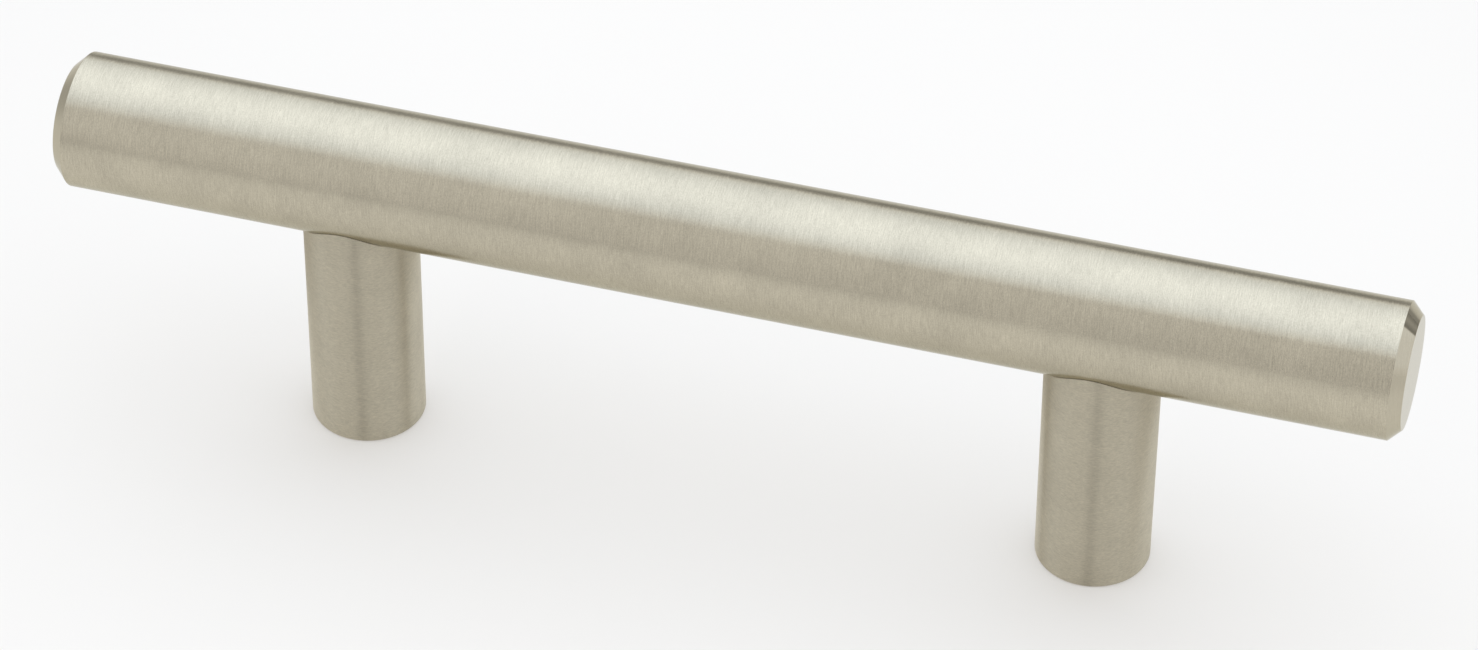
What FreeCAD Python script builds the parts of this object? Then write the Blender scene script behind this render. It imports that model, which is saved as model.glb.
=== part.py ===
import FreeCAD, Part
import math
import os

# A bar pull for cabinet doors and drawers: a solid round bar on two round posts.
# Millimetres. X runs along the bar and Z points away from the door. The origin is on the
# mounting face, midway between the two screw holes, so the feet stand on the plane Z = 0.
#
# Each post is coped: its top is milled to the round of the bar and sits around the bar's
# underside, which also keeps it from turning. A headless socket screw inside each post
# holds the two together. It is driven from the foot, with a hex key that goes up through
# the post. The thread in the foot then takes the screw that comes through the door.
#
# Threads are drawn plain, at their pitch diameter. There a screw and its tapped hole meet,
# and each holds about as much metal as with the thread cut.

# The whole pull
HOLE_SPACING = 76.2
PROJECTION = 38.1

# Bar
BAR_LENGTH = 136.5
BAR_DIAMETER = 13.7
END_CHAMFER = 1.2

# Posts
POST_DIAMETER = 11.6
EDGE_BREAK = 0.15
SADDLE_CLEARANCE = 0.03
SADDLE_LARGEST_WRAP = 60.0
SADDLE_LEAST_LAND = 0.6
KEY_PASSAGE_DIAMETER = 3.2

# Number 8-32 thread in the foot, for the screw through the door
FOOT_THREAD_MAJOR = 4.166
FOOT_THREAD_PITCH = 25.4 / 32
FOOT_THREAD_DEPTH = 12.0

# M5 x 0.8 socket screw that joins post and bar
SCREW_MAJOR = 5.0
SCREW_PITCH = 0.8
SCREW_LENGTH = 12.0
SCREW_LENGTH_IN_BAR = 6.5
SCREW_CLEARANCE = 0.02
SOCKET_ACROSS_FLATS = 2.5
SOCKET_DEPTH = 2.8
CUP_DIAMETER = 2.5
CUP_ANGLE = 90.0
THREAD_RUN_OUT_IN_POST = 3.0
TIP_ROOM_IN_BAR = 0.5

DRILL_POINT_ANGLE = 118.0
COUNTERSINK_DEPTH = 0.3

X_AXIS = FreeCAD.Vector(1, 0, 0)
Y_AXIS = FreeCAD.Vector(0, 1, 0)
Z_AXIS = FreeCAD.Vector(0, 0, 1)
ORIGIN = FreeCAD.Vector(0, 0, 0)


def pitch_radius(major, pitch):
    """Radius at which a 60 degree thread's ridge and groove are equally wide."""
    thread_height = pitch * math.sqrt(3) / 2
    return major / 2 - thread_height * 3 / 8


bar_radius = BAR_DIAMETER / 2
bar_axis_height = PROJECTION - bar_radius
bar_underside = bar_axis_height - bar_radius
post_radius = POST_DIAMETER / 2
saddle_radius = bar_radius + SADDLE_CLEARANCE
saddle_floor = bar_axis_height - saddle_radius
saddle_widest = saddle_radius * math.sin(math.radians(SADDLE_LARGEST_WRAP))

foot_bore_radius = pitch_radius(FOOT_THREAD_MAJOR, FOOT_THREAD_PITCH)
join_bore_radius = pitch_radius(SCREW_MAJOR, SCREW_PITCH)
screw_radius = join_bore_radius - SCREW_CLEARANCE
screw_tip_height = saddle_floor + SCREW_LENGTH_IN_BAR
screw_socket_height = screw_tip_height - SCREW_LENGTH


def cone_height(radius, full_angle):
    """Height of a cone of this base radius, from the full angle at its point."""
    return radius / math.tan(math.radians(full_angle / 2))


def turned(profile):
    """Solid of revolution about Z from (radius, height) corners."""
    corners = [FreeCAD.Vector(radius, 0, height) for radius, height in profile]
    outline = Part.makePolygon(corners + corners[:1])
    return Part.Face(outline).revolve(ORIGIN, Z_AXIS, 360)


def laid_along_x(shape):
    """Turns a shape made along Z so that it runs along X, with the seam of its round
    side on top."""
    shape.rotate(ORIGIN, Y_AXIS, -90)
    return shape


def mouth_cone(bore_radius, height):
    """Countersink for a bore whose mouth opens downwards at this height. The cone runs on
    below the mouth by its own depth, so that it cuts clean."""
    deep = height + COUNTERSINK_DEPTH
    out = height - COUNTERSINK_DEPTH
    wide = bore_radius + 2 * COUNTERSINK_DEPTH
    return turned([(0, deep), (bore_radius, deep), (wide, out), (0, out)])


def bar_stock():
    """The round bar, chamfered at both ends, on its own axis."""
    half = BAR_LENGTH / 2
    face_radius = bar_radius - END_CHAMFER
    shoulder = half - END_CHAMFER
    profile = [
        (0, -half),
        (face_radius, -half),
        (bar_radius, -shoulder),
        (bar_radius, shoulder),
        (face_radius, half),
        (0, half),
    ]
    return laid_along_x(turned(profile))


def join_hole_in_bar():
    """Blind tapped hole up into the bar's underside, with its drill point."""
    below = bar_underside - bar_radius
    floor = screw_tip_height + TIP_ROOM_IN_BAR
    point = floor + cone_height(join_bore_radius, DRILL_POINT_ANGLE)
    hole = turned(
        [(0, below), (join_bore_radius, below), (join_bore_radius, floor), (0, point)]
    )
    return hole.fuse(mouth_cone(join_bore_radius, bar_underside))


def make_bar():
    bar = bar_stock()
    bar.translate(Z_AXIS * bar_axis_height)
    for x in (-HOLE_SPACING / 2, HOLE_SPACING / 2):
        hole = join_hole_in_bar()
        hole.translate(X_AXIS * x)
        bar = bar.cut(hole)
    return bar


def uncoped_height():
    """Height of the post before it is coped. The saddle's two ears run up beside the bar
    to a sharp edge. On a post that is wide for its bar they would wrap too far round it, so
    there they stop lower, at a flat land."""
    if post_radius <= saddle_widest:
        return bar_axis_height
    half_width = min(saddle_widest, post_radius - SADDLE_LEAST_LAND)
    return bar_axis_height - math.sqrt(saddle_radius**2 - half_width**2)


def post_stock():
    """Round post on the Z axis, with the sharp edge of its foot broken. The seam of its
    round side is at the back, where the saddle's rim is highest."""
    top = uncoped_height()
    profile = [
        (0, 0),
        (post_radius - EDGE_BREAK, 0),
        (post_radius, EDGE_BREAK),
        (post_radius, top),
        (0, top),
    ]
    stock = turned(profile)
    stock.rotate(ORIGIN, Z_AXIS, 90)
    return stock


def saddle_cutter():
    """Milling cutter as round as the bar, lying along X across the post's top."""
    cutter = laid_along_x(Part.makeCylinder(saddle_radius, 2 * POST_DIAMETER))
    cutter.translate(FreeCAD.Vector(POST_DIAMETER, 0, bar_axis_height))
    return cutter


def break_saddle_edges(post):
    """Chamfers the saddle's edges: its rim, where it meets the post's round side, and the
    mouth of the bore in its floor."""
    lowest = saddle_floor - EDGE_BREAK
    edges = [edge for edge in post.Edges if edge.BoundBox.ZMin > lowest]
    return post.makeChamfer(EDGE_BREAK, edges)


def post_bores():
    """The way up through the post: foot thread, passage for the hex key, and the
    thread of the joining screw, which is tapped from the saddle."""
    passage = Part.makeCylinder(KEY_PASSAGE_DIAMETER / 2, bar_axis_height)
    foot_bore = Part.makeCylinder(foot_bore_radius, FOOT_THREAD_DEPTH)
    join_bore_start = screw_socket_height - THREAD_RUN_OUT_IN_POST
    join_bore = Part.makeCylinder(
        join_bore_radius,
        bar_axis_height - join_bore_start,
        Z_AXIS * join_bore_start,
    )
    return [passage, foot_bore, join_bore, mouth_cone(foot_bore_radius, 0)]


def make_post():
    post = post_stock().cut(saddle_cutter())
    for bore in post_bores():
        post = post.cut(bore)
    return break_saddle_edges(post)


def hex_socket():
    """Hexagonal key socket up from the screw's lower end, with a drilled point."""
    corner_radius = SOCKET_ACROSS_FLATS / math.sqrt(3)
    corners = []
    for step in range(6):
        angle = math.radians(60 * step)
        corners.append(
            FreeCAD.Vector(
                corner_radius * math.cos(angle),
                corner_radius * math.sin(angle),
                screw_socket_height,
            )
        )
    outline = Part.makePolygon(corners + corners[:1])
    hexagon = Part.Face(outline).extrude(Z_AXIS * SOCKET_DEPTH)
    drill_radius = SOCKET_ACROSS_FLATS / 2
    floor = screw_socket_height + SOCKET_DEPTH
    point = floor + cone_height(drill_radius, DRILL_POINT_ANGLE)
    drilled = turned(
        [
            (0, screw_socket_height),
            (drill_radius, screw_socket_height),
            (drill_radius, floor),
            (0, point),
        ]
    )
    return hexagon.fuse(drilled)


def make_joining_screw():
    """Headless socket screw: key socket down, cup point up in the bar."""
    cup_radius = CUP_DIAMETER / 2
    lead = screw_radius - cup_radius
    cup_floor = screw_tip_height - cone_height(cup_radius, CUP_ANGLE)
    profile = [
        (0, screw_socket_height),
        (screw_radius - SCREW_PITCH / 2, screw_socket_height),
        (screw_radius, screw_socket_height + SCREW_PITCH / 2),
        (screw_radius, screw_tip_height - lead),
        (cup_radius, screw_tip_height),
        (0, cup_floor),
    ]
    return turned(profile).cut(hex_socket())


def export(name, shape, x):
    """Writes one piece, moved along the bar to its place."""
    placed = shape.copy()
    placed.translate(X_AXIS * x)
    solids = placed.Solids
    assert len(solids) == 1 and solids[0].isValid(), name
    solids[0].exportStep(os.path.join("parts", name + ".step"))
    print(f"{name}: {solids[0].Volume:.1f} mm3")


def main():
    os.makedirs("parts", exist_ok=True)
    export("bar", make_bar(), 0)
    post = make_post()
    joining_screw = make_joining_screw()
    for side, x in (("left", -HOLE_SPACING / 2), ("right", HOLE_SPACING / 2)):
        export("post_" + side, post, x)
        export("joining_screw_" + side, joining_screw, x)


main()
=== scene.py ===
import math

import bmesh
import bpy
import numpy as np
from mathutils import Matrix, Vector


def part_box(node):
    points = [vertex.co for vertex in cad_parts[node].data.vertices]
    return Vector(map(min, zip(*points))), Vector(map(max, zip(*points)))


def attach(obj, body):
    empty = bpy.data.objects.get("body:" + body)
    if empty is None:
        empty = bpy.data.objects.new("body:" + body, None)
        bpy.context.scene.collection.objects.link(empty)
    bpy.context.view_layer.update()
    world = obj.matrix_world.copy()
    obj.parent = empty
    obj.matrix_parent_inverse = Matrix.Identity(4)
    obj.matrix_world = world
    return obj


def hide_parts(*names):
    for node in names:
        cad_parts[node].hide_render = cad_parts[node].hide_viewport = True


# Looks of a satin nickel bar pull: a round bar on two coped posts, which two hidden screws
# hold. Lengths are in millimetres until a mesh is made, and X runs along the bar.

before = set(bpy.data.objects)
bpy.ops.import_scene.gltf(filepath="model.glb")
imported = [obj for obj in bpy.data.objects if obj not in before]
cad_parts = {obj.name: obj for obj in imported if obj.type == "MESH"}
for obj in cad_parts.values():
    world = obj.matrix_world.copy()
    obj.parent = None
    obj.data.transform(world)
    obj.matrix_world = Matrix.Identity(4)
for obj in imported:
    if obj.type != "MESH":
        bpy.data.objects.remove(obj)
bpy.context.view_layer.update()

METRES = 0.001
BODY = "root"
SIDES = ("left", "right")

# Bar
BAR_DIAMETER = 13.7
END_CHAMFER = 1.2
END_EDGE_ROUND = 0.07
BAR_COLUMNS = 256

# Posts
POST_DIAMETER = 11.6
EDGE_BREAK = 0.15
FOOT_EDGE_ROUND = 0.08
KEY_PASSAGE_DIAMETER = 3.2
POST_COLUMNS = 128
# Less than in the solids, so that the line at the joint stays fine
SADDLE_CLEARANCE = 0.008

# Number 8-32 thread in each foot
FOOT_THREAD_MAJOR = 4.166
FOOT_THREAD_PITCH = 25.4 / 32
FOOT_TAP_DRILL = 3.45
FOOT_THREAD_DEPTH = 12.0

# M5 socket screw and the threads it runs in
SCREW_MAJOR = 5.0
SCREW_PITCH = 0.8
SCREW_TAP_DRILL = 4.2
SCREW_LENGTH = 12.0
SCREW_LENGTH_IN_BAR = 6.5
SOCKET_ACROSS_FLATS = 2.5
SOCKET_DEPTH = 2.8
CUP_DIAMETER = 2.5
THREAD_RUN_OUT_IN_POST = 3.0
TIP_ROOM_IN_BAR = 0.5
SCREW_COLUMNS = 96

THREAD_CLEARANCE = 0.03
COUNTERSINK_DEPTH = 0.3
DRILL_POINT_HALF_ANGLE = math.radians(118 / 2)
# Height of the full triangle of a 60 degree thread, in pitches
TRIANGLE_HEIGHT = math.sqrt(3) / 2

# Meshes. The distance at which points are merged is in metres.
CURVE_STEPS = 4
GUARD = 0.03
STEPS_A_PITCH = 14
SHARP_ANGLE = math.radians(32)
MERGE_DISTANCE = 1e-7


def frame_box(node):
    """Lowest and highest corner of a solid of the frame, in millimetres."""
    low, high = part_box(node)
    return np.array(low) / METRES, np.array(high) / METRES


bar_low, bar_high = frame_box("bar")
half_length = (bar_high[0] - bar_low[0]) / 2
bar_radius = BAR_DIAMETER / 2
axis_height = bar_high[2] - bar_radius
underside = axis_height - bar_radius
post_radius = POST_DIAMETER / 2
post_x = {side: np.mean(frame_box("post_" + side), axis=0)[0] for side in SIDES}
saddle_radius = bar_radius + SADDLE_CLEARANCE
saddle_floor = axis_height - saddle_radius
screw_tip = saddle_floor + SCREW_LENGTH_IN_BAR
screw_end = screw_tip - SCREW_LENGTH
foot_mouth_radius = FOOT_THREAD_MAJOR / 2 + THREAD_CLEARANCE + COUNTERSINK_DEPTH / 4
# Where the screw's ridge and groove are equally wide
screw_pitch_radius = SCREW_MAJOR / 2 - SCREW_PITCH * TRIANGLE_HEIGHT * 3 / 8


# Curves and surfaces


def softened(corners, radius):
    """Outline through (first, second) corners with each inner corner rounded. The rounding
    is a quadratic curve from one side to the other with the corner as its control point.
    A guard point on each side keeps the shading of the flats level."""
    corners = np.array(corners, float)
    share = np.linspace(0, 1, CURVE_STEPS + 1)[:, None]
    points = [corners[:1]]
    for before, corner, after in zip(corners, corners[1:], corners[2:]):
        back = (before - corner) / np.linalg.norm(before - corner)
        on = (after - corner) / np.linalg.norm(after - corner)
        half_turn = math.acos(np.clip(back @ on, -1, 1)) / 2
        reach = radius / math.tan(half_turn)
        start = corner + back * reach
        end = corner + on * reach
        curve = (1 - share) ** 2 * start + 2 * share * (1 - share) * corner + share**2 * end
        points += [start[None] + back * GUARD, curve, end[None] + on * GUARD]
    return np.vstack(points + [corners[-1:]])


def circle(columns):
    """Angles of one turn, evenly spaced, without the last one that repeats the first."""
    return np.arange(columns) * (2 * math.pi / columns)


def polar(radius, angle, height):
    """Points at a distance from the Z axis, at an angle round it and at a height."""
    radius, angle, height = np.broadcast_arrays(radius, angle, height)
    return np.stack([radius * np.cos(angle), radius * np.sin(angle), height], axis=-1)


def ridge(angle, height, major, pitch):
    """Distance from the axis to the surface of a right-hand 60 degree thread. Along the
    axis it is a flat crest an eighth of the pitch wide, a straight flank and a flat root a
    quarter wide, and the crest climbs one pitch a turn."""
    turns = height / pitch - angle / (2 * math.pi)
    from_crest = np.abs(turns - np.round(turns))
    flank = np.clip((from_crest - 1 / 16) / (5 / 16), 0, 1)
    return major / 2 - flank * pitch * TRIANGLE_HEIGHT * 5 / 8


def tapped(angle, height, major, pitch, drill):
    """Distance from the axis to the wall of a tapped hole: the screw's own surface and a
    clearance, but never inside the hole that was drilled first."""
    return np.maximum(ridge(angle, height, major, pitch) + THREAD_CLEARANCE, drill / 2)


def foot_wall(angle, height):
    return tapped(angle, height, FOOT_THREAD_MAJOR, FOOT_THREAD_PITCH, FOOT_TAP_DRILL)


def join_wall(angle, height):
    return tapped(angle, height, SCREW_MAJOR, SCREW_PITCH, SCREW_TAP_DRILL)


def drilled_point(drill, height):
    """Height of the point that a drill leaves beyond the end of a hole."""
    return height + drill / 2 / math.tan(DRILL_POINT_HALF_ANGLE)


def wall(angle, start, end, pitch, radius):
    """Grid of a round wall. At each angle the height runs evenly from start to end, and
    radius(angle, height) is the distance from the axis."""
    reach = np.max(np.abs(np.asarray(end) - start))
    steps = int(math.ceil(reach / pitch * STEPS_A_PITCH))
    share = np.linspace(0, 1, steps + 1)[:, None]
    height = start + (end - start) * share
    angle = np.broadcast_to(angle, height.shape)
    return polar(radius(angle, height), angle, height)


def rings(profile, angle):
    """Grid of a surface of revolution about Z from (radius, height) points."""
    profile = np.asarray(profile)
    return polar(profile[:, :1], angle, profile[:, 1:])


def unit(vectors):
    return vectors / np.linalg.norm(vectors, axis=-1, keepdims=True)


def bent(start, corner, end):
    """Grid of loops along a quadratic curve from start to end, with the corner as its
    control point, at each column."""
    share = np.linspace(0, 1, CURVE_STEPS + 1)[:, None, None]
    return (1 - share) ** 2 * start + 2 * share * (1 - share) * corner + share**2 * end


def blend_loops(first, last, steps):
    """Grid of loops that go straight from the first loop to the last one."""
    share = np.linspace(0, 1, steps + 1)[:, None, None]
    return first + (last - first) * share


def join_loops(first, last):
    """Grid of one band of faces between two loops."""
    return np.stack([first, last])


# Meshes


def quads(rows, columns):
    """Corner numbers of a grid's faces. The grid closes from its last column to its
    first."""
    row = np.arange(rows - 1)[:, None] * columns
    column = np.arange(columns)
    after = (column + 1) % columns
    faces = [row + column, row + after, row + columns + after, row + columns + column]
    return np.stack(faces, axis=-1).reshape(-1, 4)


def closed_mesh(name, grids, cut_faces=()):
    """One closed mesh from grids of points in millimetres that meet at their borders.
    Points that coincide are merged, which closes seams and poles. cut_faces gives the
    faces to leave out, counted in the first grid."""
    points = []
    faces = []
    count = 0
    for grid in grids:
        rows, columns = grid.shape[:2]
        faces.append(quads(rows, columns) + count)
        points.append(grid.reshape(-1, 3))
        count += rows * columns
    faces[0] = np.delete(faces[0], cut_faces, axis=0)
    points = np.vstack(points) * METRES
    faces = np.vstack(faces)
    mesh = bpy.data.meshes.new(name)
    mesh.vertices.add(len(points))
    mesh.vertices.foreach_set("co", points.ravel())
    mesh.loops.add(faces.size)
    mesh.loops.foreach_set("vertex_index", faces.ravel().astype(np.int32))
    mesh.polygons.add(len(faces))
    mesh.polygons.foreach_set("loop_start", np.arange(len(faces), dtype=np.int32) * 4)
    mesh.update(calc_edges=True)
    weld(mesh)
    mesh.polygons.foreach_set("use_smooth", np.ones(len(mesh.polygons), bool))
    mesh.set_sharp_from_angle(angle=SHARP_ANGLE)
    mesh.update()
    return mesh


def weld(mesh):
    """Merges points that coincide and turns every face outwards."""
    work = bmesh.new()
    work.from_mesh(mesh)
    bmesh.ops.remove_doubles(work, verts=work.verts, dist=MERGE_DISTANCE)
    bmesh.ops.recalc_face_normals(work, faces=work.faces)
    work.to_mesh(mesh)
    work.free()


def piece(name, mesh, node, material):
    """Makes the object that stands for a solid of the frame, with its finish."""
    thing = bpy.data.objects.new(name, mesh)
    bpy.context.scene.collection.objects.link(thing)
    mesh.materials.append(material)
    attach(thing, BODY)
    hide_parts(node)


# Bar

# The part of the bar's grid that is cut out round each hole, and the loops that fill it
WINDOW_REACH = 4.2
WINDOW_RINGS = 24
WINDOW_COLUMNS = 50
PATCH_STEPS = 6

END_FACE_RINGS = 11
MOUTH_PASSES = 12


def bar_outline():
    """Distance from the axis and place along it, from one end's centre to the other's."""
    face_radius = bar_radius - END_CHAMFER
    shoulder = half_length - END_CHAMFER
    corners = [
        (0, -half_length),
        (face_radius, -half_length),
        (bar_radius, -shoulder),
        (bar_radius, 0),
    ]
    end = softened(corners, END_EDGE_ROUND)[:-1]
    face = np.linspace(0, 1, END_FACE_RINGS + 1)[:-1, None] * end[1]
    face[:, 1] = -half_length
    return np.vstack([face, end[1:]])


def window_places(x):
    """Places of a window's rings along the bar."""
    return np.linspace(x - WINDOW_REACH, x + WINDOW_REACH, WINDOW_RINGS + 1)


def bar_skin():
    """Grid of the bar's whole outside, and the number of its rings before the first
    window. It is a surface of revolution about the bar's axis, with rings close together
    in the two windows."""
    left = bar_outline()
    middle = np.concatenate([window_places(post_x[side]) for side in SIDES])
    middle = np.stack([np.full_like(middle, bar_radius), middle], axis=-1)
    profile = np.vstack([left, middle, left[::-1] * (1, -1)])
    turned = rings(profile, circle(BAR_COLUMNS))
    laid_down = [turned[..., 2], turned[..., 1], axis_height - turned[..., 0]]
    return np.stack(laid_down, axis=-1), len(left)


def window_columns():
    """First and last column of a window, each side of the underside, which is column 0."""
    return -(WINDOW_COLUMNS // 2), WINDOW_COLUMNS // 2


def window_loop(skin, first_ring):
    """Points round the border of a window in the skin's grid."""
    low, high = window_columns()
    last_ring = first_ring + WINDOW_RINGS
    side = np.arange(first_ring, last_ring)
    across = np.arange(low, high)
    at_first = np.full(WINDOW_COLUMNS, first_ring)
    at_last = np.full(WINDOW_COLUMNS, last_ring)
    at_low = np.full(WINDOW_RINGS, low)
    at_high = np.full(WINDOW_RINGS, high)
    ring = np.concatenate([side, at_last, side[::-1] + 1, at_first])
    column = np.concatenate([at_low, across, at_high, across[::-1] + 1])
    return skin[ring, column % BAR_COLUMNS]


def window_faces(first_ring):
    """Numbers of the skin's faces inside a window."""
    low, high = window_columns()
    ring = np.arange(first_ring, first_ring + WINDOW_RINGS)[:, None]
    column = np.arange(low, high) % BAR_COLUMNS
    return (ring * BAR_COLUMNS + column).ravel()


def rise_of_underside(y):
    """Height of the bar's underside above its lowest line."""
    return bar_radius - np.sqrt(bar_radius**2 - y**2)


def bar_mouth(angle):
    """Radius and height at which a hole's wall comes out of the bar. The countersink's cone
    and the round of the bar are crossed by repeated substitution."""
    radius = np.full_like(angle, SCREW_MAJOR / 2)
    for _ in range(MOUTH_PASSES):
        rise = rise_of_underside(radius * np.sin(angle))
        radius = bar_hole_wall(angle, underside + rise)
    return radius, underside + rise


def bar_hole_wall(angle, height):
    cone = screw_pitch_radius + COUNTERSINK_DEPTH - (height - underside)
    return np.maximum(join_wall(angle, height), cone)


def bar_hole(loop, x):
    """Grids of one blind tapped hole: the bar's surface from the window's border to the
    mouth, the wall, and the drilled floor with its point."""
    angle = np.arctan2(loop[:, 1], loop[:, 0] - x)
    radius, height = bar_mouth(angle)
    mouth = polar(radius, angle, height)
    mouth[:, 0] += x
    skin = blend_loops(loop, mouth, PATCH_STEPS)
    skin[..., 2] = underside + rise_of_underside(skin[..., 1])
    floor = screw_tip + TIP_ROOM_IN_BAR
    side = wall(angle, height, np.full_like(angle, floor), SCREW_PITCH, bar_hole_wall)
    bottom = np.stack(
        [
            polar(join_wall(angle, floor), angle, floor),
            polar(SCREW_TAP_DRILL / 2, angle, floor),
            polar(0.0, angle, drilled_point(SCREW_TAP_DRILL, floor)),
        ]
    )
    side[..., 0] += x
    bottom[..., 0] += x
    side[0] = skin[-1]
    return [skin, side, bottom]


def make_bar(material):
    skin, first_window = bar_skin()
    holes = []
    cut = []
    for number, side in enumerate(SIDES):
        first_ring = first_window + number * (WINDOW_RINGS + 1)
        holes += bar_hole(window_loop(skin, first_ring), post_x[side])
        cut.append(window_faces(first_ring))
    mesh = closed_mesh("bar_skin", [skin] + holes, np.concatenate(cut))
    piece("brushed_bar", mesh, "bar", material)


# Posts

# Height where the straight side starts, and height of the narrow band below its rim
STRAIGHT_START = 1.0
RIM_GUARD = 0.05
SIDE_LOOPS = 10
SADDLE_LOOPS = 12


def saddle_height(y):
    """Height of the saddle's surface, which lies round the bar's axis."""
    return axis_height - np.sqrt(saddle_radius**2 - y**2)


def saddle_edge(radius, angle):
    """Edge where a round wall about the post's axis meets the saddle, with the two ways
    from it, down the wall and over the saddle, square to the edge, and the way outwards.
    The edge's own direction is the derivative of its place by the angle."""
    edge = polar(radius, angle, saddle_height(radius * np.sin(angle)))
    y = edge[:, 1]
    slope = y / np.sqrt(saddle_radius**2 - y**2)
    along = unit(np.stack([-y, edge[:, 0], slope * edge[:, 0]], axis=-1))
    outwards = np.stack([np.cos(angle), np.sin(angle), 0 * angle], axis=-1)
    up = unit(np.stack([0 * y, -y, axis_height - edge[:, 2]], axis=-1))
    down_wall = unit(np.cross(along, outwards))
    down_wall *= -np.sign(down_wall[:, 2:])
    over_saddle = unit(np.cross(along, up))
    return edge, down_wall, over_saddle, outwards


def broken_edge(radius, angle, inwards):
    """Loops over a saddle edge that is broken by EDGE_BREAK: from the wall, round the
    edge, to the saddle. inwards is 1 if the saddle lies inside the wall, -1 if outside."""
    edge, down_wall, over_saddle, outwards = saddle_edge(radius, angle)
    towards = -inwards * np.sign(np.sum(over_saddle * outwards, axis=-1, keepdims=True))
    on_wall = edge + down_wall * EDGE_BREAK
    on_wall[:, :2] *= radius / np.linalg.norm(on_wall[:, :2], axis=-1, keepdims=True)
    on_saddle = edge + over_saddle * towards * EDGE_BREAK
    on_saddle[:, 2] = saddle_height(on_saddle[:, 1])
    return bent(on_wall, edge, on_saddle)


def post_side(angle, rim):
    """Foot face, broken foot edge and round side, up to the rim's first loop."""
    corners = [
        (foot_mouth_radius, 0),
        (post_radius - EDGE_BREAK, 0),
        (post_radius, EDGE_BREAK),
        (post_radius, STRAIGHT_START),
    ]
    foot = rings(softened(corners, FOOT_EDGE_ROUND), angle)
    below_rim = rim - (0, 0, RIM_GUARD)
    side = blend_loops(foot[-1], below_rim, SIDE_LOOPS)
    return [foot, side, join_loops(below_rim, rim)]


def saddle_floor_loops(rim, mouth):
    """Saddle surface between the two broken edges."""
    loops = blend_loops(rim, mouth, SADDLE_LOOPS)
    loops[..., 2] = saddle_height(loops[..., 1])
    return loops


def post_bore(angle, mouth):
    """Way down through the post: the joining screw's thread, the step to the key passage,
    the step to the foot's thread, and its countersunk mouth."""
    run_out = screw_end - THREAD_RUN_OUT_IN_POST
    passage = KEY_PASSAGE_DIAMETER / 2
    start = mouth[:, 2]
    join = wall(angle, start, np.full_like(start, run_out), SCREW_PITCH, join_wall)
    steps = np.array([(passage, run_out), (passage, FOOT_THREAD_DEPTH)])
    middle = rings(steps, angle)
    top = np.full_like(start, FOOT_THREAD_DEPTH)
    foot = wall(angle, top, np.zeros_like(start), FOOT_THREAD_PITCH, foot_hole_wall)
    upper_step = join_loops(join[-1], middle[0])
    lower_step = join_loops(middle[-1], foot[0])
    return [join, upper_step, middle, lower_step, foot]


def foot_hole_wall(angle, height):
    return np.maximum(foot_wall(angle, height), foot_mouth_radius - height)


def post_mesh(side):
    """One post as a closed ring of loops, from the foot's mouth outwards, up the side,
    over the saddle and back down the bore."""
    angle = circle(POST_COLUMNS)
    rim = broken_edge(post_radius, angle, 1)
    mouth = broken_edge(screw_pitch_radius, angle, -1)[::-1]
    bore = post_bore(angle, mouth[-1])
    grids = post_side(angle, rim[0])
    grids += [rim, saddle_floor_loops(rim[-1], mouth[0]), mouth]
    grids += [join_loops(mouth[-1], bore[0][0])] + bore
    for grid in grids:
        grid[..., 0] += post_x[side]
    return closed_mesh("post_skin_" + side, grids)


def make_post(side, material):
    name = "post_" + side
    piece("brushed_" + name, post_mesh(side), name, material)


# Joining screws

HEEL_CHAMFER = 0.7 * SCREW_PITCH


def hexagon(angle, across_flats):
    """Distance from the axis to a hexagon's side at an angle: the distance to the flat,
    divided by the cosine of the angle from the flat's middle."""
    sixth = math.pi / 3
    from_middle = (angle + sixth / 2) % sixth - sixth / 2
    return across_flats / 2 / np.cos(from_middle)


def screw_wall(angle, height):
    """Thread of the screw, cut back by the chamfer at each end."""
    lead = CUP_DIAMETER / 2 + (screw_tip - height)
    heel = SCREW_MAJOR / 2 - HEEL_CHAMFER + (height - screw_end)
    return np.minimum(ridge(angle, height, SCREW_MAJOR, SCREW_PITCH), np.minimum(lead, heel))


def screw_mesh(side):
    """One headless screw as loops: from the point of the drilled socket, down the hexagon,
    over the heel, up the thread and into the cup at the tip."""
    angle = circle(SCREW_COLUMNS)
    socket_floor = screw_end + SOCKET_DEPTH
    hexagon_radius = hexagon(angle, SOCKET_ACROSS_FLATS)
    socket = np.stack(
        [
            polar(0.0, angle, drilled_point(SOCKET_ACROSS_FLATS, socket_floor)),
            polar(SOCKET_ACROSS_FLATS / 2, angle, socket_floor),
            polar(hexagon_radius, angle, socket_floor),
            polar(hexagon_radius, angle, screw_end),
        ]
    )
    start = np.full_like(angle, screw_end)
    thread = wall(angle, start, start + SCREW_LENGTH, SCREW_PITCH, screw_wall)
    cup = np.stack([thread[-1], polar(0.0, angle, screw_tip - CUP_DIAMETER / 2)])
    grids = [socket, join_loops(socket[-1], thread[0]), thread, cup]
    for grid in grids:
        grid[..., 0] += post_x[side]
    return closed_mesh("screw_skin_" + side, grids)


def make_screw(side, material):
    name = "joining_screw_" + side
    piece("threaded_" + name, screw_mesh(side), name, material)


# Shader maths


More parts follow.
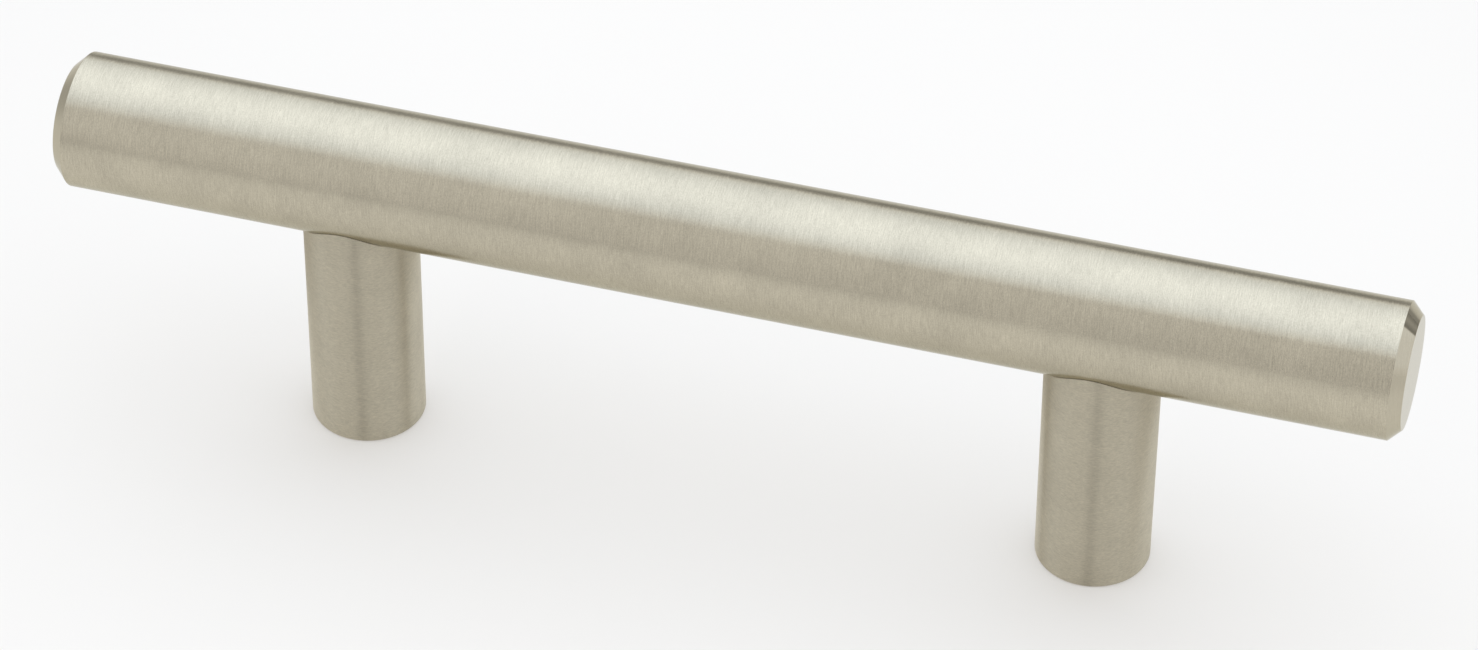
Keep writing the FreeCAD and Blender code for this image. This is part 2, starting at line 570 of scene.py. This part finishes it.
class Signal:
    """An output in a node tree. Arithmetic on it adds the Math node of that operation."""

    def __init__(self, tree, socket):
        self.tree = tree
        self.socket = socket

    def __add__(self, other):
        return self.tree.maths("ADD", self, other)

    def __radd__(self, other):
        return self.tree.maths("ADD", other, self)

    def __sub__(self, other):
        return self.tree.maths("SUBTRACT", self, other)

    def __rsub__(self, other):
        return self.tree.maths("SUBTRACT", other, self)

    def __mul__(self, other):
        return self.tree.maths("MULTIPLY", self, other)

    def __rmul__(self, other):
        return self.tree.maths("MULTIPLY", other, self)

    def __truediv__(self, other):
        return self.tree.maths("DIVIDE", self, other)

    def __rtruediv__(self, other):
        return self.tree.maths("DIVIDE", other, self)

    def __neg__(self):
        return self.tree.maths("MULTIPLY", self, -1.0)

    def __abs__(self):
        return self.tree.maths("ABSOLUTE", self)


class Tree:
    """A node tree that is built from nothing."""

    def __init__(self, owner):
        owner.use_nodes = True
        self.nodes = owner.node_tree.nodes
        self.links = owner.node_tree.links
        self.nodes.clear()

    def add(self, kind, settings=None, sockets=None, output=0):
        """Adds a node: its type, its settings, then the values or links of its sockets.
        The setting stops gives a colour ramp's (place, colour) pairs."""
        node = self.nodes.new("ShaderNode" + kind)
        for name, value in (settings or {}).items():
            if name == "stops":
                self.set_stops(node.color_ramp, value)
            else:
                setattr(node, name, value)
        for name, value in (sockets or {}).items():
            if isinstance(value, Signal):
                self.links.new(value.socket, node.inputs[name])
            else:
                node.inputs[name].default_value = value
        return Signal(self, node.outputs[output]) if len(node.outputs) else node

    def set_stops(self, ramp, stops):
        while len(ramp.elements) < len(stops):
            ramp.elements.new(1.0)
        for element, (place, level) in zip(ramp.elements, stops):
            element.position = place
            element.color = (level, level, level, 1.0)

    def maths(self, operation, *values):
        return self.add("Math", {"operation": operation}, dict(enumerate(values)))

    def step(self, value, low, high):
        """Smooth step from 0 at low to 1 at high."""
        settings = {"interpolation_type": "SMOOTHSTEP"}
        sockets = {"Value": value, "From Min": low, "From Max": high}
        return self.add("MapRange", settings, sockets)

    def parts(self, vector):
        """X, Y and Z of a vector, as three signals."""
        x = self.add("SeparateXYZ", None, {0: vector})
        outputs = x.socket.node.outputs
        return [Signal(self, socket) for socket in outputs]

    def vector(self, operation, *values):
        return self.add("VectorMath", {"operation": operation}, dict(enumerate(values)))

    def measure(self, operation, *values):
        """A vector operation that gives a number: a length, a distance or a dot product."""
        return self.add("VectorMath", {"operation": operation}, dict(enumerate(values)), 1)

    def scaled(self, vector, factor):
        return self.add("VectorMath", {"operation": "SCALE"}, {0: vector, "Scale": factor})


# Finishes

# Outputs of the Texture Coordinate and Geometry nodes
GENERATED = 0
OBJECT = 3
NORMAL = 1

# Numbers of the axes that brushing goes round
X_AXIS = 0
Z_AXIS = 2

BAR_COLOUR = (0.500, 0.457, 0.357)
# The posts' colour is the bar's nickel painted about a tenth lighter, which is painted
# light.
POST_COLOUR_WITH_PAINTED_LIFT = (0.554, 0.506, 0.395)
SCREW_COLOUR = (0.030, 0.030, 0.032)
BAR_EDGE_TINT = (0.80, 0.79, 0.73, 1.0)
POST_EDGE_TINT = (0.86, 0.84, 0.80, 1.0)

# Marks of the brushing: width along the axis it goes round, and length across it
HAIRLINE = (0.03, 0.3)
BAR_SCRATCH = (0.065, 1.3)
POST_SCRATCH = (0.12, 0.45)
SPECK = (0.11, 0.16)
WAVE = (0.2, 0.5)
CLOUD = (1.0, 1.4)
PATCH = (5.0, 6.0)
BRUSHING_DETAIL = 1.0
TURNED_RINGS_A_MILLIMETRE = 9
TURNED_LEAN = 0.12

# How much scratches, specks, clouds and patches change the colour
BAR_SHADE = (0.50, 0.40, 0.06, 0.24)
POST_SHADE = (0.42, 0.22, 0.12, 0.18)

BAR_SEED = 1.0
BAR_HAIRLINE_LEAN = 0.2
BAR_WAVE_LEAN = 0.06
BAR_ROUGHNESS = 0.21
BAR_PATCH_ROUGHNESS = 0.08
ROUGHER_TO_LEFT = 0.03
# How far the brushing climbs along the bar for each step round it
BRUSHING_CLIMB = 0.06

# Beyond the bar's shoulder: where the body's finish ends and the end face's starts, what is
# left of the brushing's colours and of the roughness, and how much lighter the end face is
# painted, which is painted light
BODY_END = (0.0, 0.05)
FACE_START = (END_CHAMFER - 0.06, END_CHAMFER - 0.01)
END_SHADE_SHARE = 0.3
END_ROUGHNESS_SHARE = 0.45
END_FACE_PAINTED_LIFT = 0.06

POST_SEED = 11.0
POST_HAIRLINE_LEAN = 0.4
POST_WAVE_LEAN = 0.05
POST_ROUGHNESS = 0.43
POST_PATCH_ROUGHNESS = 0.06
POST_SPREAD = 0.97
# A quarter of a turn, from along the brushing to square to it
SQUARE_TO_BRUSHING = 0.25

# Height at which the foot's turned finish ends, and what is left of the colours there
FOOT_END = (0.02, EDGE_BREAK)
FOOT_SHADE_SHARE = 0.2

# Mottling of the screws: its size in millimetres, its depth in metres, and the lowest and
# highest shade and roughness
SCREW_SEED = 21.0
MOTTLE = (0.3, 0.3)
MOTTLE_DETAIL = 2.0
MOTTLE_STRENGTH = 0.3
MOTTLE_DEPTH = 0.00002
SCREW_SHADE = (0.8, 1.2)
SCREW_ROUGHNESS = (0.3, 0.5)

# Single scratches, each painted as a lighter line, which is a painted glint: both ends, in
# millimetres
BAR_MARK = ((-33.75, -1.90, 37.83), (-33.88, -3.00, 37.41))
BAR_MARK_HALF_WIDTH = 0.09
BAR_MARK_PAINTED_GLINT = 0.12
POST_MARKS = (
    ((38.3, -5.80, 20.5), (39.8, -5.55, 20.5)),
    ((40.2, -5.40, 6.5), (40.8, -5.12, 6.45)),
)
POST_MARK_HALF_WIDTH = 0.07
POST_MARK_PAINTED_GLINT = 0.10


def object_place(tree):
    """Object coordinates in millimetres."""
    place = tree.add("TexCoord", output=OBJECT)
    scale = (1 / METRES, 1 / METRES, 1 / METRES)
    return tree.add("Mapping", None, {"Vector": place, "Scale": scale})


def streaks(tree, place, axis, size, detail, seed):
    """Noise drawn out round an axis. size is about how wide each streak is along the axis
    and how long across it, in millimetres."""
    width, length = size
    scale = [1 / length] * 3
    scale[axis] = 1 / width
    place = tree.vector("MULTIPLY", place, tuple(scale))
    settings = {"noise_dimensions": "4D"}
    sockets = {"Vector": place, "W": seed, "Scale": 1.0, "Detail": detail}
    return tree.add("TexNoise", settings, sockets)


def leaned_normal(tree, *leans):
    """Surface normal with small vectors added to it, brought back to unit length."""
    normal = tree.add("NewGeometry", output=NORMAL)
    for lean in leans:
        normal = tree.vector("ADD", normal, lean)
    return tree.vector("NORMALIZE", normal)


def brushed_leans(tree, axis, along, around):
    """The two ways in which brushing round an axis leans the normal: along the axis, and
    round it. The second is the cross product of the axis and the normal."""
    direction = tuple(float(index == axis) for index in range(3))
    normal = tree.add("NewGeometry", output=NORMAL)
    round_axis = tree.vector("CROSS_PRODUCT", direction, normal)
    return tree.scaled(direction, along), tree.scaled(round_axis, around)


def metal(tree, colour, shade, roughness, normal, edge_tint, spread=0.0):
    """Metal surface of a finish. shade multiplies the colour, and the edge tint sets how
    much it mirrors where it is seen edge on. spread is how far its reflections are drawn
    out along Z, square to brushing that goes round Z."""
    sockets = {
        "Anisotropic": spread,
        "Anisotropic Rotation": SQUARE_TO_BRUSHING,
        "Base Color": tree.scaled(colour, shade),
        "Metallic": 1.0,
        "Specular Tint": edge_tint,
        "Roughness": roughness,
        "Normal": normal,
    }
    surface = tree.add("BsdfPrincipled", None, sockets)
    tree.add("OutputMaterial", None, {"Surface": surface})


class Brushing:
    """The brushing round one axis as signals about 0: hairlines too fine to tell apart,
    scratches, specks between them, waviness round the axis, clouds and wide patches."""

    def __init__(self, tree, place, axis, scratch, seed):
        sizes = (HAIRLINE, scratch, WAVE, CLOUD, PATCH, SPECK)
        signals = [
            streaks(tree, place, axis, size, BRUSHING_DETAIL, seed + number) - 0.5
            for number, size in enumerate(sizes)
        ]
        self.hairline, self.scratch, self.wave, self.cloud, self.patch, self.speck = signals

    def shade(self, amounts):
        """Change of the colour about 0."""
        scratches, specks, clouds, patches = amounts
        grain = self.scratch * scratches + self.speck * specks
        return grain + self.cloud * clouds + self.patch * patches


def turned_rings(tree, from_axis, amount):
    """Lean of the normal over fine rings turned round an axis, and from_axis is the way
    from it, in millimetres."""
    place = tree.measure("LENGTH", from_axis) * TURNED_RINGS_A_MILLIMETRE
    ring = tree.add("TexNoise", {"noise_dimensions": "1D"}, {"W": place, "Scale": 1.0})
    return tree.scaled(tree.vector("NORMALIZE", from_axis), (ring - 0.5) * amount)


def on_line(tree, place, start, end, half_width):
    """1 on the straight line between two points, falling to 0 at half_width from it."""
    way = Vector(end) - Vector(start)
    from_start = tree.vector("SUBTRACT", place, start)
    share = tree.measure("DOT_PRODUCT", from_start, way / way.length_squared)
    nearest = tree.scaled(way, tree.add("Clamp", None, {0: share}))
    return 1 - tree.step(tree.measure("DISTANCE", from_start, nearest), 0.0, half_width)


def between(low, high, share):
    """Value at a share of the way from low to high."""
    return low + (high - low) * share


def bar_finish():
    """Satin nickel, brushed round the bar and a little rougher towards the left end. The
    chamfers are turned smoother, and each end face has fine turned rings."""
    material = bpy.data.materials.new("bar_satin_nickel")
    tree = Tree(material)
    place = object_place(tree)
    x, y, z = tree.parts(place)
    out = abs(x) - (half_length - END_CHAMFER)
    body = 1 - tree.step(out, *BODY_END)
    face = tree.step(out, *FACE_START)
    from_axis = tree.add("CombineXYZ", None, {1: y, 2: z - axis_height})
    climb = tree.maths("ARCTAN2", y, z - axis_height) * (bar_radius * BRUSHING_CLIMB)
    twisted = tree.add("CombineXYZ", None, {0: x + climb, 1: y, 2: z})
    brushing = Brushing(tree, twisted, X_AXIS, BAR_SCRATCH, BAR_SEED)
    along = brushing.hairline * BAR_HAIRLINE_LEAN * body
    around = brushing.wave * BAR_WAVE_LEAN * body
    leans = brushed_leans(tree, X_AXIS, along, around)
    turned = turned_rings(tree, from_axis, face * TURNED_LEAN)
    shade = 1 + brushing.shade(BAR_SHADE) * between(END_SHADE_SHARE, 1, body)
    # A real scratch, painted as a lighter line: a painted glint.
    scratch_and_glint = on_line(tree, place, *BAR_MARK, BAR_MARK_HALF_WIDTH)
    # Painted light: each end face is painted a little lighter.
    shade = shade + scratch_and_glint * BAR_MARK_PAINTED_GLINT + face * END_FACE_PAINTED_LIFT
    roughness = BAR_ROUGHNESS - x * (ROUGHER_TO_LEFT / half_length)
    roughness = roughness + brushing.patch * BAR_PATCH_ROUGHNESS
    roughness = roughness * between(END_ROUGHNESS_SHARE, 1, body)
    normal = leaned_normal(tree, *leans, turned)
    metal(tree, BAR_COLOUR, shade, roughness, normal, BAR_EDGE_TINT)
    return material


def post_finish():
    """Satin nickel, brushed round the post. The foot's flat face is turned."""
    material = bpy.data.materials.new("post_satin_nickel")
    tree = Tree(material)
    place = object_place(tree)
    brushing = Brushing(tree, place, Z_AXIS, POST_SCRATCH, POST_SEED)
    x, y, z = tree.parts(place)
    foot = 1 - tree.step(z, *FOOT_END)
    from_axis = tree.add("CombineXYZ", None, {0: abs(x) - post_x["right"], 1: y})
    along = brushing.hairline * POST_HAIRLINE_LEAN * (1 - foot)
    leans = brushed_leans(tree, Z_AXIS, along, brushing.wave * POST_WAVE_LEAN)
    turned = turned_rings(tree, from_axis, foot * TURNED_LEAN)
    roughness = POST_ROUGHNESS + brushing.patch * POST_PATCH_ROUGHNESS
    shade = 1 + brushing.shade(POST_SHADE) * between(1, FOOT_SHADE_SHARE, foot)
    # Real scratches, each painted as a lighter line: a painted glint.
    for start, end in POST_MARKS:
        scratch_and_glint = on_line(tree, place, start, end, POST_MARK_HALF_WIDTH)
        shade = shade + scratch_and_glint * POST_MARK_PAINTED_GLINT
    normal = leaned_normal(tree, *leans, turned)
    metal(tree, POST_COLOUR_WITH_PAINTED_LIFT, shade, roughness, normal, POST_EDGE_TINT, POST_SPREAD)
    return material


def screw_finish():
    """Blackened steel with a little mottling."""
    material = bpy.data.materials.new("screw_steel")
    tree = Tree(material)
    mottle = streaks(tree, object_place(tree), Z_AXIS, MOTTLE, MOTTLE_DETAIL, SCREW_SEED)
    sockets = {"Strength": MOTTLE_STRENGTH, "Distance": MOTTLE_DEPTH, "Height": mottle}
    bump = tree.add("Bump", None, sockets)
    shade = between(*SCREW_SHADE, mottle)
    roughness = between(*SCREW_ROUGHNESS, mottle)
    metal(tree, SCREW_COLOUR, shade, roughness, bump, POST_EDGE_TINT)
    return material


# Stage

# Lengths are in metres from here on.
FLOOR_REACH = 20.0
FLOOR_DROP = 0.00005
FLOOR_COLOUR = (0.825, 0.785, 0.73)
FLOOR_WHITE = (0.97, 0.965, 0.955)
FLOOR_LIFT = 0.32

# Painted shade on the floor: where each darkening of its colour starts and ends, and the
# share that is left
PAINTED_FALL_AWAY = (0.04, 0.28, 0.88)
PAINTED_SHADE_BEHIND = (0.10, 0.40, 0.48)
PAINTED_SHADE_TO_LEFT = (0.14, 0.34, 0.74)


def make_floor():
    """Flat floor just under the feet."""
    points = np.array([(-1, -1, 0), (1, -1, 0), (1, 1, 0), (-1, 1, 0)]) * FLOOR_REACH
    points[:, 2] = -FLOOR_DROP
    mesh = bpy.data.meshes.new("floor")
    mesh.from_pydata(points.tolist(), [], [(0, 1, 2, 3)])
    floor = bpy.data.objects.new("floor", mesh)
    bpy.context.scene.collection.objects.link(floor)
    mesh.materials.append(floor_paper())


def fall(tree, distance, limits):
    """Share of the floor's colour left at a distance, for painted shade."""
    near, far, share = limits
    return between(1, share, tree.step(distance, near, far))


def floor_paper():
    """White paper with painted shade: its colour darkens a little away from the object, and
    to grey far behind it and far to its left. The camera and the metal see it lifted towards
    white, which leaves a soft shadow."""
    material = bpy.data.materials.new("floor_paper")
    tree = Tree(material)
    place = tree.add("TexCoord", output=OBJECT)
    x, y, z = tree.parts(place)
    # Painted shade: the floor's colour darkens away from the object, behind it and to its
    # left.
    share = fall(tree, tree.measure("LENGTH", place), PAINTED_FALL_AWAY)
    share = share * fall(tree, y, PAINTED_SHADE_BEHIND) * fall(tree, -x, PAINTED_SHADE_TO_LEFT)
    sockets = {
        "Base Color": tree.scaled(FLOOR_COLOUR, share),
        "Roughness": 1.0,
        "Specular IOR Level": 0.0,
    }
    paper = tree.add("BsdfPrincipled", None, sockets)
    white = tree.add("Emission", None, {"Color": tree.scaled(FLOOR_WHITE, share)})
    kinds = ("Is Camera Ray", "Is Glossy Ray", "Is Transmission Ray")
    camera, glossy, through = [tree.add("LightPath", output=kind) for kind in kinds]
    seen = tree.maths("MAXIMUM", tree.maths("MAXIMUM", camera, glossy), through)
    surface = tree.add("MixShader", None, {0: seen * FLOOR_LIFT, 1: paper, 2: white})
    tree.add("OutputMaterial", None, {"Surface": surface})
    return material


# The surroundings are given by direction. Feet, tops and sides are the Z or X of a direction
# that is one unit long.

# Brightness round the bar's axis: degrees up from the front horizon, over the top, to the
# back horizon, with the level there
LIGHT_ROUND_BAR = [
    (0, 0.80),
    (23, 0.84),
    (33, 0.87),
    (50, 0.91),
    (57.5, 0.81),
    (60, 1.06),
    (63, 1.13),
    (73, 1.32),
    (83, 1.50),
    (97, 1.66),
    (112, 1.70),
    (125, 1.66),
    (139, 1.54),
    (149, 1.38),
    (161, 1.24),
    (166, 1.16),
    (171, 0.70),
    (175, 0.36),
    (180, 0.28),
]
# The ramp's colours are the levels divided by this, so that none is over 1.
BRIGHTEST = 2.0

# Levels at the sides, below and above the horizon, and where the sides begin
SIDE_LOW = 0.92
SIDE_HIGH = 1.06
SIDE_RISE = (0.0, 0.15)
SIDE_START = (0.55, 0.9)

# The black flag: its level, its bearings from straight behind in radians, and its top
FLAG_LEVEL = 0.3
FLAG_LEFT = math.radians(31)
FLAG_RIGHT = math.radians(52)
FLAG_EDGE = 0.04
FLAG_TOP = (0.30, 0.42)

# The gap between the front lights: its bearing from straight ahead and its half widths in
# radians, its foot and its top
GAP_BEARING = math.radians(6)
GAP_DARK = math.radians(3.5)
GAP_SOFT = math.radians(8)
GAP_DEPTH = 0.98
GAP_FOOT = (-0.1, 0.0)
GAP_TOP = (0.75, 0.95)

# A little more light from the left: how much, how far left it starts, its foot and its top
LEFT_GLOW = 0.08
GLOW_START = (0.21, 0.30)
GLOW_FOOT = (0.0, 0.2)
GLOW_TOP = (0.5, 0.8)

# The brighter light overhead is cooler.
OVERHEAD_TINT = (0.93, 1.0, 1.11)
OVERHEAD_LEVELS = (0.85, 1.4)


def black_flag(tree, x, y, z):
    """Where a black flag stands, behind and to the right: dark up to its sharp right edge,
    and fading to its left and its top."""
    bearing = tree.maths("ARCTAN2", x, y)
    from_left = tree.step(bearing, FLAG_LEFT, FLAG_RIGHT)
    across = from_left * (1 - tree.step(bearing, FLAG_RIGHT, FLAG_RIGHT + FLAG_EDGE))
    return across * (1 - tree.step(z, *FLAG_TOP))


def front_gap(tree, x, y, z):
    """The upright gap between the two front lights: dark in its middle and soft at its
    sides."""
    from_middle = abs(tree.maths("ARCTAN2", x, -y) - GAP_BEARING)
    across = 1 - tree.step(from_middle, GAP_DARK, GAP_SOFT)
    return across * tree.step(z, *GAP_FOOT) * (1 - tree.step(z, *GAP_TOP))


def left_glow(tree, x, z):
    """Where a little more light comes from, on the left."""
    across = tree.step(-x, *GLOW_START)
    return across * tree.step(z, *GLOW_FOOT) * (1 - tree.step(z, *GLOW_TOP))


def make_world():
    """A soft studio: a wide light overhead that reaches over to the back, two lights in
    front with a gap between them, grey walls at the sides, a dark gap low at the back and a
    black flag beside it."""
    world = bpy.data.worlds.new("studio")
    bpy.context.scene.world = world
    tree = Tree(world)
    x, y, z = tree.parts(tree.add("TexCoord", output=GENERATED))
    turn = tree.maths("ARCTAN2", z, -y) / math.pi
    stops = [(degrees / 180, level / BRIGHTEST) for degrees, level in LIGHT_ROUND_BAR]
    ramp = tree.add("ValToRGB", {"stops": stops}, {0: turn})
    round_bar = ramp * BRIGHTEST
    side = between(SIDE_LOW, SIDE_HIGH, tree.step(z, *SIDE_RISE))
    level = between(round_bar, side, tree.step(abs(x), *SIDE_START))
    level = level + LEFT_GLOW * left_glow(tree, x, z)
    level = between(level, FLAG_LEVEL, black_flag(tree, x, y, z))
    level = level * (1 - GAP_DEPTH * front_gap(tree, x, y, z))
    overhead = tree.step(level, *OVERHEAD_LEVELS)
    colours = {0: overhead, 6: (1, 1, 1, 1), 7: (*OVERHEAD_TINT, 1)}
    tint = tree.add("Mix", {"data_type": "RGBA"}, colours, output=2)
    background = tree.add("Background", None, {"Color": tint, "Strength": level})
    tree.add("OutputWorld", None, {"Surface": background})


# Camera

CAMERA_TARGET = Vector((0.0012, 0.0, 0.02061))
CAMERA_DISTANCE = 0.6102
CAMERA_AZIMUTH = math.radians(15.65)
CAMERA_ELEVATION = math.radians(41.85)
CAMERA_ROLL = math.radians(0.39)
CAMERA_LENS = 150.0
SENSOR_WIDTH = 36.0
NEAREST = 0.01
FARTHEST = 100.0


def make_camera():
    """Camera at the photograph's place: in front, a little to the right and above."""
    level = math.cos(CAMERA_ELEVATION)
    x = math.sin(CAMERA_AZIMUTH) * level
    y = -math.cos(CAMERA_AZIMUTH) * level
    back = Vector((x, y, math.sin(CAMERA_ELEVATION)))
    right = Vector((0, 0, 1)).cross(back).normalized()
    up = back.cross(right)
    turn = Matrix((right, up, back)).transposed() @ Matrix.Rotation(CAMERA_ROLL, 3, "Z")
    place = Matrix.Translation(CAMERA_TARGET + back * CAMERA_DISTANCE)
    data = bpy.data.cameras.new("camera")
    data.lens = CAMERA_LENS
    data.sensor_width = SENSOR_WIDTH
    data.clip_start = NEAREST
    data.clip_end = FARTHEST
    camera = bpy.data.objects.new("camera", data)
    camera.matrix_world = place @ turn.to_4x4()
    bpy.context.scene.collection.objects.link(camera)
    bpy.context.scene.camera = camera


def main():
    bar_metal = bar_finish()
    post_metal = post_finish()
    screw_metal = screw_finish()
    make_bar(bar_metal)
    for side in SIDES:
        make_post(side, post_metal)
        make_screw(side, screw_metal)
    make_floor()
    make_world()
    make_camera()
    bpy.context.scene.view_settings.view_transform = "Standard"


main()
